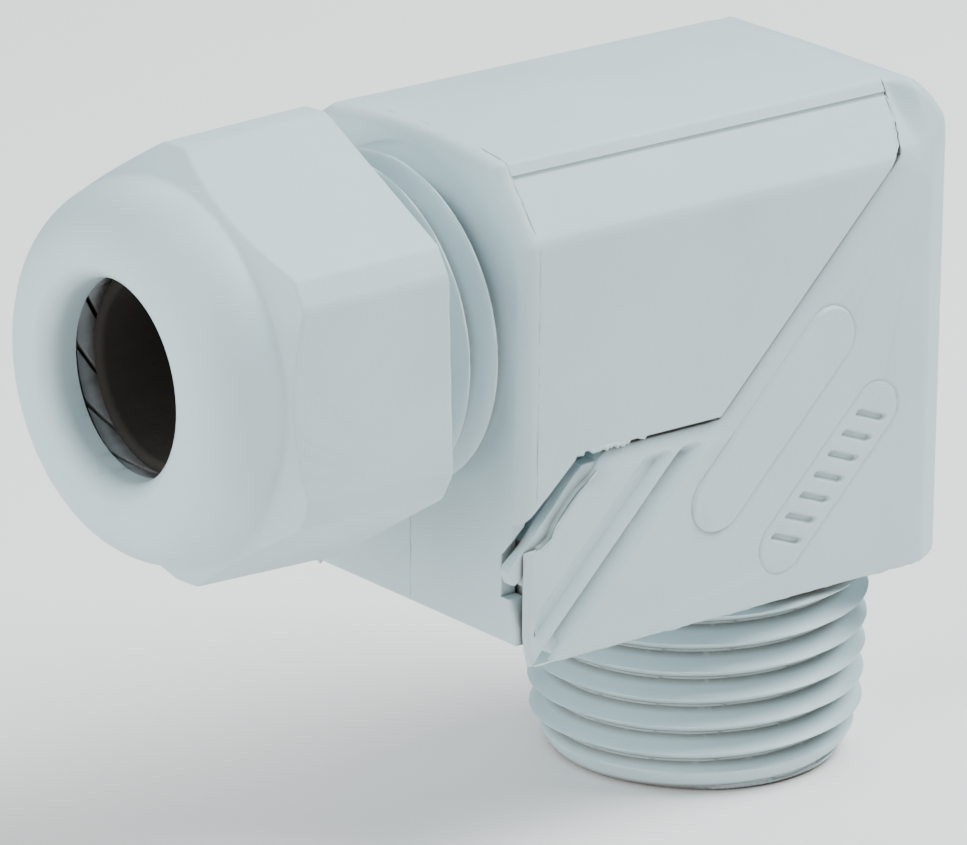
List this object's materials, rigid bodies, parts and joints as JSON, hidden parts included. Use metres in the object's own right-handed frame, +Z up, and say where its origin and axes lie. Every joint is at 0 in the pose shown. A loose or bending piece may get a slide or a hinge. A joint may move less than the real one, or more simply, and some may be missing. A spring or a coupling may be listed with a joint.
{
  "type": "cable gland",
  "caption": "Right-angle liquid-tight cable gland: hinged two-part plastic elbow, taper pipe thread, dome nut, clamping cage and rubber sealing sleeve.",
  "frame": {"origin": "on the pipe thread's axis, in the elbow's bottom face", "axes": "+Z up along the pipe thread's axis, away from the thread; the gland points along -X; +Y is across the elbow"},
  "size_m": [0.0568, 0.0252, 0.0462],
  "materials": {
    "body_polyamide": "light blue-grey moulded polyamide, fine satin grain",
    "cage_polyamide": "light grey moulded polyamide, satin",
    "seal_rubber": "black nitrile rubber, dull"
  },
  "bodies": {
    "entry_half": {"entry_housing": "body_polyamide", "hinge_web": "body_polyamide"},
    "gland_half": {"gland_housing": "body_polyamide"},
    "insert": {"clamping_cage": "cage_polyamide", "sealing_sleeve": "seal_rubber"},
    "nut": {"dome_nut": "body_polyamide"}
  },
  "joints": [
    {"name": "elbow_hinge", "type": "hinge", "parent": "entry_half", "child": "gland_half", "pos_m": [0.007, 0, 0.0303], "axis": [0, 1, 0], "range_deg": [0, 90]},
    {"name": "gland_travel", "type": "slide", "parent": "gland_half", "child": "insert", "axis": [1, 0, 0], "range_m": [-0.0021, 0.0063]},
    {"name": "nut_turn", "type": "hinge", "parent": "insert", "child": "nut", "pos_m": [-0.036, 0, 0.01964], "axis": [1, 0, 0], "range_deg": [-360, 1080]}
  ],
  "couplings": [
    {"joint": "gland_travel", "follows": "nut_turn", "m_per_rad": 0.00032945}
  ]
}
